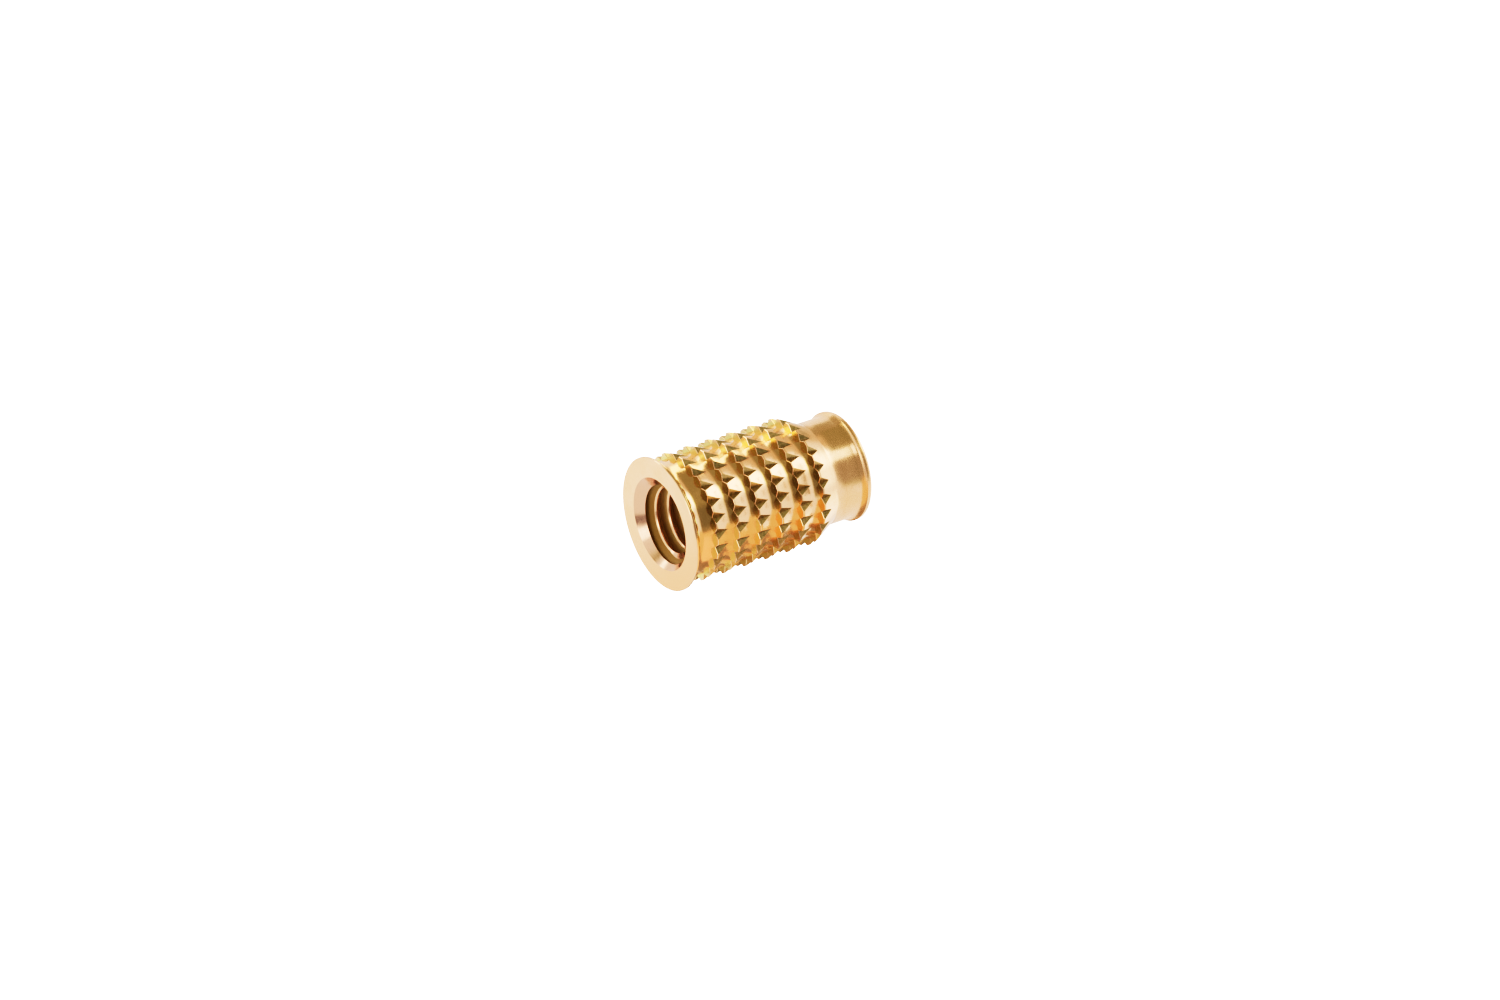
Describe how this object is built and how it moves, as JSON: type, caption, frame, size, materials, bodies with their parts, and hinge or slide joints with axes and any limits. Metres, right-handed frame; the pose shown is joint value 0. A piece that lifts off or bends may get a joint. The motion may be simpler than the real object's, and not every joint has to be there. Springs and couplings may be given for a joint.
{
  "type": "threaded insert",
  "caption": "Press-in brass threaded insert with a thin flange, notched barb rings along the shank, a plain pilot ending in a small collar, and a threaded through bore with a lead-in.",
  "frame": {"origin": "centre of the pilot's end face, which the insert stands on", "axes": "+Z along the bore's axis, from the pilot's end to the flange's face"},
  "size_m": [0.0066, 0.0066, 0.0103],
  "materials": {
    "brass": "bright turned"
  },
  "bodies": {
    "root": {"insert_body": "brass"}
  },
  "joints": []
}
